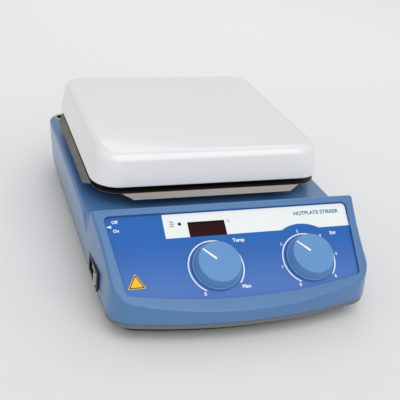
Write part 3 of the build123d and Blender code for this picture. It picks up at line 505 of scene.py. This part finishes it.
def lettering(name, words, letter_size, x, y, material, lift=0.0, thickness=LETTER_T * MM):
    """Plain sans-serif words, centred on a point of the panel."""
    curve = bpy.data.curves.new(name, "FONT")
    curve.body = words
    curve.size = letter_size
    curve.align_x = "CENTER"
    curve.align_y = "CENTER"
    curve.extrude = thickness / 2
    curve.offset = 0.03 * letter_size
    curve.resolution_u = 3
    source = bpy.data.objects.new(name + "_source", curve)
    bpy.context.scene.collection.objects.link(source)
    bpy.context.view_layer.update()
    mesh = bpy.data.meshes.new_from_object(source)
    bpy.data.objects.remove(source)
    bpy.data.curves.remove(curve)
    bm = bmesh.new()
    bm.from_mesh(mesh)
    bpy.data.meshes.remove(mesh)
    bmesh.ops.translate(bm, vec=(x, y, lift + thickness / 2), verts=bm.verts)
    bmesh.ops.transform(bm, matrix=panel_frame(), verts=bm.verts)
    return finish_piece(bm, name, "root", material, check_normals=False)


# ---------------------------------------------------------------- operators

class STIRRER_OT_finishes(bpy.types.Operator):
    """Makes every material and gives each carried-over piece its own"""
    bl_idname = "stirrer.finishes"
    bl_label = "Finishes"

    def execute(self, context):
        colours = context.scene.stirrer_colours
        materials = slot_materials(colours)
        for name, node in frame["nodes"].items():
            node.data.materials.clear()
            node.data.materials.append(materials[SLOT_OF[name]])
        for name, material in materials.items():
            material["stirrer_slot"] = name
        # Inks on the foil: white marks, blue and grey lettering, black and yellow for the triangle.
        print_ink("white_print", colours.ink, "E1E8E6")
        print_ink("blue_print", colours.blue_ink, "35639C")
        print_ink("grey_print", "8C939B", "7F868F")
        print_ink("black_print", "121212", "1B1B1B")
        # Red filter over the display: smoked plastic, dark until lit, with a clean gloss.
        surface("red_filter", "30090D", "26070A", drift=14.0, grain=4.0, relief=0.002, rough=(0.10, 0.16),
                ior=1.49, specular_ior_level=0.12)
        print_ink("yellow_print", colours.sign, "E8B400", rough=(0.35, 0.45))
        return {"FINISHED"}


def slot_material(slot):
    """The finish that belongs to a material slot."""
    for material in bpy.data.materials:
        if material.get("stirrer_slot") == slot:
            return material
    raise RuntimeError("run the finishes operator first: no finish for " + slot)


def node_material(node):
    """The finish that belongs to a CAD node."""
    return slot_material(SLOT_OF[node])


class STIRRER_OT_housing(bpy.types.Operator):
    """Rounds out the cast housing and the base under it"""
    bl_idname = "stirrer.housing"
    bl_label = "Housing and base"

    def execute(self, context):
        names = {"upper_housing": "housing_casting", "base_plate": "base_plate_moulding",
                 "base_pan": "base_pan_moulding", "base_seal": "base_seal_ring", "feet": "rubber_feet",
                 "front_foil": "dial_foil"}
        for node, name in names.items():
            joined_copy(node, name, node_material(node))
        return {"FINISHED"}


class STIRRER_OT_plate(bpy.types.Operator):
    """Models the glazed heating plate"""
    bl_idname = "stirrer.plate"
    bl_label = "Heating plate"

    def execute(self, context):
        sizes = context.scene.stirrer_plate
        low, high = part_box("plate_shell")
        half = (high.x - low.x) / 2
        height = high.z - low.z
        bm = bmesh.new()
        foot = rounded_square(bm, half, sizes.corner, PLATE_CORNER_STEPS, 0.0)
        # The copy closes the foot, because raising a face takes the face away.
        bmesh.ops.duplicate(bm, geom=[foot])
        top = raise_face(bm, foot, height, 1 - sizes.draft / half)
        bmesh.ops.bevel(bm, geom=top.edges[:], offset=sizes.edge, segments=PLATE_EDGE_STEPS, profile=0.5,
                        affect="EDGES", material=-1)
        bmesh.ops.remove_doubles(bm, verts=bm.verts, dist=WELD)
        base = min(bm.faces, key=lambda face: face.calc_center_median().z)
        bmesh.ops.inset_region(bm, faces=[base], thickness=sizes.wall, use_even_offset=True)
        raise_face(bm, base, height - sizes.roof, 1 - sizes.draft / half)
        centre = ((low.x + high.x) / 2, (low.y + high.y) / 2, low.z)
        bmesh.ops.translate(bm, vec=centre, verts=bm.verts)
        finish_piece(bm, "glazed_plate", "root", node_material("plate_shell"), ("plate_shell",),
                     sizes.foot_edge)
        return {"FINISHED"}


class STIRRER_OT_shield(bpy.types.Operator):
    """Folds the steel heat shield, with a lip along each side"""
    bl_idname = "stirrer.shield"
    bl_label = "Heat shield"

    def execute(self, context):
        sizes = context.scene.stirrer_plate
        low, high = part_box("heat_shield")
        bm = bmesh.new()
        rounded_square(bm, sizes.shield_half, sizes.shield_corner, SHIELD_CORNER_STEPS, 0.0)
        fold = radians(45)
        length = (sizes.lip_drop - 1.4 * sizes.hem) / sin(fold)
        straight = 2 * (sizes.shield_half - sizes.shield_corner)
        roots = [edge for edge in bm.edges if edge.calc_length() > 0.9 * straight]
        for edge in roots:
            middle = (edge.verts[0].co + edge.verts[1].co) / 2
            outward = middle.normalized()
            along = Vector((-outward.y, outward.x, 0))
            line = edge
            for step in range(LIP_STEPS + 1):
                angle = fold * (step + 0.5) / LIP_STEPS if step < LIP_STEPS else fold
                reach = sizes.lip_bend * fold / LIP_STEPS if step < LIP_STEPS else length
                grown = bmesh.ops.extrude_edge_only(bm, edges=[line])["geom"]
                verts = [item for item in grown if isinstance(item, bmesh.types.BMVert)]
                line = [item for item in grown if isinstance(item, bmesh.types.BMEdge)
                        and all(vert in verts for vert in item.verts)][0]
                bmesh.ops.translate(bm, vec=outward * reach * cos(angle) - Vector((0, 0, reach * sin(angle))),
                                    verts=verts)
            share = sizes.lip_end / straight
            for vert in line.verts:
                vert.co -= along * vert.co.dot(along) * (1 - share)
            grown = bmesh.ops.extrude_edge_only(bm, edges=[line])["geom"]
            verts = [item for item in grown if isinstance(item, bmesh.types.BMVert)]
            bmesh.ops.translate(bm, vec=outward * sizes.hem, verts=verts)
        centre = Vector(((low.x + high.x) / 2, (low.y + high.y) / 2, high.z))
        bmesh.ops.translate(bm, vec=centre, verts=bm.verts)
        piece = finish_piece(bm, "shield_sheet", "root", node_material("heat_shield"),
                             ("heat_shield",))
        sheet = piece.modifiers.new("sheet_thickness", "SOLIDIFY")
        sheet.thickness = sizes.sheet
        sheet.offset = -1
        piece.modifiers.move(piece.modifiers.find("sheet_thickness"), 0)
        return {"FINISHED"}


class STIRRER_OT_dials(bpy.types.Operator):
    """Turns the two knobs and lays in their pointers"""
    bl_idname = "stirrer.dials"
    bl_label = "Dial knobs"

    def execute(self, context):
        sizes = context.scene.stirrer_dials
        collar_top = sizes.lift + sizes.collar
        profile = [
            (0.0, sizes.height), (sizes.top, sizes.height), (sizes.skirt, collar_top + sizes.groove),
            (sizes.skirt - sizes.groove, collar_top + sizes.groove), (sizes.skirt - sizes.groove, collar_top),
            (sizes.flange, collar_top), (sizes.flange, sizes.lift), (sizes.cavity, sizes.lift),
            (sizes.cavity, sizes.cavity_height), (sizes.hub, sizes.cavity_height), (sizes.hub, sizes.hub_gap),
            (0.0, sizes.hub_gap),
        ]
        for name in ("temp", "stir"):
            joint = JOINTS[name + "_dial_turn"]
            place = panel_frame() @ Matrix.Translation((joint["pos_m"][0], 0, 0))
            bm = bmesh.new()
            verts = [bm.verts.new((r, 0, z)) for r, z in profile]
            edges = [bm.edges.new(pair) for pair in zip(verts, verts[1:])]
            bmesh.ops.spin(bm, geom=verts + edges, cent=(0, 0, 0), axis=(0, 0, 1), angle=2 * pi,
                           steps=KNOB_STEPS, use_merge=True)
            bmesh.ops.remove_doubles(bm, verts=bm.verts, dist=WELD)
            rings = [edge for edge in bm.edges
                     if edge.calc_face_angle(0.0) > radians(25)
                     and abs(edge.verts[0].co.z - edge.verts[1].co.z) < 1e-6
                     and edge.verts[0].co.z > collar_top + 2 * sizes.groove]
            bmesh.ops.bevel(bm, geom=rings, offset=sizes.rounding, segments=KNOB_EDGE_STEPS, profile=0.5,
                            affect="EDGES", material=-1)
            bmesh.ops.transform(bm, matrix=place, verts=bm.verts)
            finish_piece(bm, name + "_knob_moulding", name + "_dial", node_material(name + "_knob"),
                         (name + "_knob",), bevel=0.15 * MM, smooth_angle=40)

            bm = bmesh.new()
            half = sizes.pointer_width / 2
            tip = sizes.top - sizes.rounding
            flat_outline(bm, [(-1.2 * half, sizes.pointer_start), (1.2 * half, sizes.pointer_start),
                              (0.8 * half, tip), (-0.8 * half, tip)])
            thicken(bm, 0.1 * MM)
            bmesh.ops.translate(bm, vec=(0, 0, sizes.height - 0.02 * MM), verts=bm.verts)
            swing = Matrix.Rotation(sizes.pointer_turn, 4, "Z")
            bmesh.ops.transform(bm, matrix=place @ swing, verts=bm.verts)
            finish_piece(bm, name + "_pointer_line", name + "_dial", node_material(name + "_pointer"),
                         (name + "_pointer",))
        return {"FINISHED"}


class STIRRER_OT_scales(bpy.types.Operator):
    """Prints the arcs, ticks and numerals round the dials"""
    bl_idname = "stirrer.scales"
    bl_label = "Dial scales"

    def execute(self, context):
        sizes = context.scene.stirrer_dials
        ink = bpy.data.materials["white_print"]
        first = pi / 2 + sizes.scale_start
        for name, ticked, words in (("temp", False, "0"), ("stir", True, "0123456")):
            x = JOINTS[name + "_dial_turn"]["pos_m"][0]
            bm = bmesh.new()
            inner = sizes.scale_radius - sizes.scale_width / 2
            ends = [bm.verts.new((r * cos(first), r * sin(first), 0))
                    for r in (inner, inner + sizes.scale_width)]
            edge = bm.edges.new(ends)
            bmesh.ops.spin(bm, geom=ends + [edge], cent=(0, 0, 0), axis=(0, 0, 1),
                           angle=-sizes.scale_sweep, steps=ARC_STEPS)
            bmesh.ops.translate(bm, vec=(x, 0, 0), verts=bm.verts)
            print_piece(bm, name + "_scale_arc", ink)
            for index, word in enumerate(words):
                angle = first - sizes.scale_sweep * index / LAST_NUMERAL
                reach = sizes.scale_radius + NUMERAL_OUT * MM
                letter = END_NUMERAL if index in (0, LAST_NUMERAL) else NUMERAL
                lettering(f"{name}_numeral_{index}", word, letter * MM, x + reach * cos(angle),
                          reach * sin(angle), ink)
            if ticked:
                bm = bmesh.new()
                for index in range(1, LAST_NUMERAL):
                    angle = first - sizes.scale_sweep * index / LAST_NUMERAL
                    ray = Vector((cos(angle), sin(angle), 0))
                    side = Vector((-ray.y, ray.x, 0)) * TICK_HALF * MM
                    near, far = ray * sizes.scale_radius, ray * (sizes.scale_radius + TICK_LENGTH * MM)
                    corners = (near - side, near + side, far + side, far - side)
                    flat_outline(bm, [(p.x + x, p.y) for p in corners])
                print_piece(bm, name + "_scale_ticks", ink)
        for name, words, dial, letter, across, up in DIAL_LABELS:
            x = JOINTS[dial + "_dial_turn"]["pos_m"][0]
            lettering(name, words, letter * MM, x + across * MM, up * MM, ink)
        return {"FINISHED"}


class STIRRER_OT_print(bpy.types.Operator):
    """Prints the white strip, its arch and the switch marks"""
    bl_idname = "stirrer.print"
    bl_label = "Panel print"

    def execute(self, context):
        sizes = context.scene.stirrer_print
        ink = bpy.data.materials["white_print"]
        grey = bpy.data.materials["grey_print"]
        dial_x = JOINTS["stir_dial_turn"]["pos_m"][0]
        window_left, window_right, window_top = window_edges()

        bm = bmesh.new()
        corners = ((sizes.strip_left, sizes.strip_low),
                   (sizes.strip_right - sizes.strip_slant, sizes.strip_low),
                   (sizes.strip_right, sizes.strip_top), (sizes.strip_left, sizes.strip_top))
        flat_outline(bm, corners)
        for spot, normal in (((window_left, 0, 0), (1, 0, 0)), ((window_right, 0, 0), (1, 0, 0)),
                             ((0, window_top, 0), (0, 1, 0))):
            bmesh.ops.bisect_plane(bm, geom=everything(bm), plane_co=spot, plane_no=normal)
        pane = [face for face in bm.faces if window_left < face.calc_center_median().x < window_right
                and face.calc_center_median().y < window_top]
        bmesh.ops.delete(bm, geom=pane, context="FACES")
        tip = max(bm.verts, key=lambda vert: vert.co.x + vert.co.y)
        bmesh.ops.bevel(bm, geom=[tip], offset=sizes.strip_corner, segments=STRIP_CORNER_STEPS,
                        profile=0.5, affect="VERTICES", material=-1)
        print_piece(bm, "white_strip", ink, thickness=sizes.thickness)

        bm = bmesh.new()
        bmesh.ops.create_circle(bm, cap_ends=True, segments=ARCH_STEPS, radius=sizes.arch)
        bmesh.ops.bisect_plane(bm, geom=everything(bm), plane_co=(0, sizes.strip_low, 0),
                               plane_no=(0, -1, 0), clear_outer=True)
        bmesh.ops.translate(bm, vec=(dial_x, 0, 0), verts=bm.verts)
        print_piece(bm, "strip_arch", slot_material("foil"), lift=sizes.thickness, thickness=sizes.thickness)

        top = sizes.thickness
        lettering("strip_words", "HOTPLATE STIRRER", STRIP_LETTER * MM, STRIP_WORDS_X * MM,
                  STRIP_WORDS_UP * MM, bpy.data.materials["blue_print"], top)
        lettering("strip_degree", "°C", DEGREE_LETTER * MM, window_right + DEGREE_RIGHT * MM,
                  window_top - DEGREE_DOWN * MM, grey, top)
        bm = bmesh.new()
        left, right = BAR_LEFT * MM, BAR_RIGHT * MM
        for row in range(BARS):
            y = BAR_LOW * MM + row * BAR_PITCH * MM
            flat_outline(bm, [(left, y), (right, y), (right, y + BAR_T * MM), (left, y + BAR_T * MM)])
        print_piece(bm, "strip_heat_mark", grey, lift=top)

        for name, words, across, up in SWITCH_WORDS:
            lettering(name, words, SWITCH_LETTER * MM, across * MM, up * MM, ink)
        bm = bmesh.new()
        flat_outline(bm, [(ARROW_TIP * MM, ARROW_UP * MM), (ARROW_TAIL * MM, (ARROW_UP - ARROW_HALF) * MM),
                          (ARROW_TAIL * MM, (ARROW_UP + ARROW_HALF) * MM)])
        print_piece(bm, "switch_arrow", ink)
        return {"FINISHED"}


class STIRRER_OT_display(bpy.types.Operator):
    """Lays the dark red pane in a black band, whose wider top is painted recess shadow, and sets the lamp's lens
    """
    bl_idname = "stirrer.display"
    bl_label = "Display and lamp"

    def execute(self, context):
        sizes = context.scene.stirrer_print
        joined_copy("display_window", "display_lens", node_material("display_window"))
        window_left, window_right, window_top = window_edges()
        bm = bmesh.new()
        # Painted shadow: the pane stops short of the window so that the black lens shows round it, twice as wide
        # along the top as the recess's shade.
        flat_outline(bm, [(window_left + sizes.surround_and_shadow, sizes.strip_low + 0.3 * sizes.surround_and_shadow),
                          (window_right - sizes.surround_and_shadow, sizes.strip_low + 0.3 * sizes.surround_and_shadow),
                          (window_right - sizes.surround_and_shadow, window_top - 2 * sizes.surround_and_shadow),
                          (window_left + sizes.surround_and_shadow, window_top - 2 * sizes.surround_and_shadow)])
        print_piece(bm, "display_pane", bpy.data.materials["red_filter"])

        low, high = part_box("lamp_light_pipe")
        middle = panel_frame().inverted() @ Vector(((low.x + high.x) / 2, low.y, high.z))
        bm = bmesh.new()
        bmesh.ops.create_uvsphere(bm, u_segments=24, v_segments=12, radius=(high.x - low.x) / 2)
        bmesh.ops.bisect_plane(bm, geom=everything(bm), plane_co=(0, 0, 0), plane_no=(0, 0, -1),
                               clear_outer=True)
        bmesh.ops.holes_fill(bm, edges=bm.edges[:], sides=0)
        bmesh.ops.scale(bm, vec=(1, 1, 0.3), verts=bm.verts)
        bmesh.ops.translate(bm, vec=(middle.x, sizes.lamp_up, sizes.thickness), verts=bm.verts)
        bmesh.ops.transform(bm, matrix=panel_frame(), verts=bm.verts)
        finish_piece(bm, "lamp_lens", "root", node_material("display_window"))
        return {"FINISHED"}


class STIRRER_OT_sign(bpy.types.Operator):
    """Prints a plain yellow triangle at the foot of the foil"""
    bl_idname = "stirrer.sign"
    bl_label = "Yellow triangle"

    def execute(self, context):
        sizes = context.scene.stirrer_print
        for step, (name, ink, inset) in enumerate(SIGN_LAYERS):
            bm = bmesh.new()
            bmesh.ops.create_circle(bm, cap_ends=True, segments=3, radius=sizes.sign - inset * MM)
            upright = Matrix.Rotation(-point_up(bm), 3, "Z")
            bmesh.ops.rotate(bm, cent=(0, 0, 0), matrix=upright, verts=bm.verts)
            bmesh.ops.bevel(bm, geom=bm.verts[:], offset=SIGN_CORNER * MM, segments=SIGN_CORNER_STEPS,
                            profile=0.5, affect="VERTICES", material=-1)
            bmesh.ops.translate(bm, vec=(sizes.sign_x, sizes.sign_up, 0), verts=bm.verts)
            print_piece(bm, name, bpy.data.materials[ink], step * sizes.thickness)
        return {"FINISHED"}


class STIRRER_OT_switch(bpy.types.Operator):
    """Softens the rocker switch and its frame"""
    bl_idname = "stirrer.switch"
    bl_label = "Rocker switch"

    def execute(self, context):
        joined_copy("switch_frame", "switch_bezel", node_material("switch_frame"), 0.4 * MM)
        joined_copy("switch_rocker", "switch_rocker_cap", node_material("switch_rocker"), 0.6 * MM)
        return {"FINISHED"}


class STIRRER_OT_rear(bpy.types.Operator):
    """Softens the mains inlet, fuse drawer, probe socket and rod bushing"""
    bl_idname = "stirrer.rear"
    bl_label = "Rear connections"

    def execute(self, context):
        names = {"mains_inlet": "inlet_moulding", "inlet_pins": "inlet_blades",
                 "inlet_screws": "inlet_screw_heads", "fuse_drawer": "fuse_drawer_moulding",
                 "probe_socket": "probe_socket_shell", "probe_pins": "probe_contacts",
                 "rod_bushing": "rod_thread_bushing"}
        for node, name in names.items():
            joined_copy(node, name, node_material(node), 0.3 * MM)
        return {"FINISHED"}


class STIRRER_OT_under_plate(bpy.types.Operator):
    """Smooths the tray, stand-offs and magnet cover between the housing and the plate"""
    bl_idname = "stirrer.under_plate"
    bl_label = "Under the plate"

    def execute(self, context):
        names = {"heater_tray": "heater_tray_pressing", "plate_standoffs": "plate_posts",
                 "magnet_cover": "magnet_cover_spinning", "plate_washers": "plate_insulators"}
        for node, name in names.items():
            joined_copy(node, name, node_material(node))
        return {"FINISHED"}


class STIRRER_OT_stage(bpy.types.Operator):
    """Lays the floor, hangs the lights and sets the camera"""
    bl_idname = "stirrer.stage"
    bl_label = "Studio"

    def execute(self, context):
        scene = context.scene
        bm = bmesh.new()
        bmesh.ops.create_grid(bm, x_segments=1, y_segments=1, size=FLOOR_HALF)
        mesh = bpy.data.meshes.new("studio_floor")
        bm.to_mesh(mesh)
        bm.free()
        floor = bpy.data.objects.new("studio_floor", mesh)
        scene.collection.objects.link(floor)
        # Backdrop paper: dead matt and even, so that only the shadows show on it.
        mesh.materials.append(surface("matt_backdrop_paper", scene.stirrer_colours.floor, "E2E2E2",
                                      drift=400.0, grain=3.0, relief=0.02, rough=(0.8, 0.9)))

        world = bpy.data.worlds.new("studio_air")
        world.use_nodes = True
        world.node_tree.nodes["Background"].inputs["Color"].default_value = (1.0, 1.0, 1.0, 1.0)
        world.node_tree.nodes["Background"].inputs["Strength"].default_value = AIR_STRENGTH
        scene.world = world
        sun = bpy.data.lights.new("soft_key", "SUN")
        sun.energy = KEY_ENERGY
        sun.angle = radians(KEY_SPREAD)
        lamp = bpy.data.objects.new("soft_key", sun)
        scene.collection.objects.link(lamp)
        lamp.matrix_world = Vector(KEY_FROM).to_track_quat("Z", "Y").to_matrix().to_4x4()
        box = bpy.data.lights.new("soft_box", "AREA")
        box.energy = BOX_ENERGY
        box.size = BOX_SIZE
        lamp = bpy.data.objects.new("soft_box", box)
        scene.collection.objects.link(lamp)
        spot = Vector(BOX_SPOT)
        lamp.matrix_world = Matrix.Translation(spot) @ spot.to_track_quat("Z", "Y").to_matrix().to_4x4()

        azimuth, elevation = radians(VIEW_AZIMUTH), radians(VIEW_ELEVATION)
        back = Vector((sin(azimuth) * cos(elevation), -cos(azimuth) * cos(elevation), sin(elevation)))
        camera_data = bpy.data.cameras.new("view")
        camera_data.sensor_width = VIEW_SENSOR
        camera_data.lens = VIEW_LENS
        camera_data.clip_end = VIEW_REACH
        camera = bpy.data.objects.new("view", camera_data)
        scene.collection.objects.link(camera)
        facing = (-back).to_track_quat("-Z", "Y").to_matrix().to_4x4()
        place = Matrix.Translation(Vector(VIEW_TARGET) + back * VIEW_DISTANCE)
        camera.matrix_world = place @ facing @ Matrix.Rotation(radians(VIEW_ROLL), 4, "Z")
        scene.camera = camera
        scene.view_settings.view_transform = "Standard"
        return {"FINISHED"}


OPERATORS = (
    STIRRER_OT_finishes, STIRRER_OT_housing, STIRRER_OT_plate, STIRRER_OT_shield, STIRRER_OT_under_plate,
    STIRRER_OT_dials, STIRRER_OT_scales, STIRRER_OT_print, STIRRER_OT_display, STIRRER_OT_sign,
    STIRRER_OT_switch, STIRRER_OT_rear, STIRRER_OT_stage,
)
GROUPS = {
    "stirrer_plate": StirrerPlateSizes,
    "stirrer_dials": StirrerDialSizes,
    "stirrer_print": StirrerPrintSizes,
    "stirrer_colours": StirrerColours,
}


class STIRRER_PT_pieces(bpy.types.Panel):
    """Lists the pieces and the values they are made from"""
    bl_idname = "STIRRER_PT_pieces"
    bl_label = "Hotplate Stirrer"
    bl_space_type = "VIEW_3D"
    bl_region_type = "UI"
    bl_category = "Stirrer"

    def draw(self, context):
        for operator in OPERATORS:
            self.layout.operator(operator.bl_idname)
        for name, group in GROUPS.items():
            box = self.layout.box()
            for field in group.__annotations__:
                box.prop(getattr(context.scene, name), field)


def register():
    for group in GROUPS.values():
        bpy.utils.register_class(group)
    for name, group in GROUPS.items():
        setattr(bpy.types.Scene, name, bpy.props.PointerProperty(type=group))
    for operator in OPERATORS:
        bpy.utils.register_class(operator)
    bpy.utils.register_class(STIRRER_PT_pieces)


def unregister():
    bpy.utils.unregister_class(STIRRER_PT_pieces)
    for operator in reversed(OPERATORS):
        bpy.utils.unregister_class(operator)
    for name, group in GROUPS.items():
        delattr(bpy.types.Scene, name)
        bpy.utils.unregister_class(group)


def main():
    register()
    for operator in OPERATORS:
        family, name = operator.bl_idname.split(".")
        getattr(getattr(bpy.ops, family), name)()


if __name__ == "__main__":
    main()
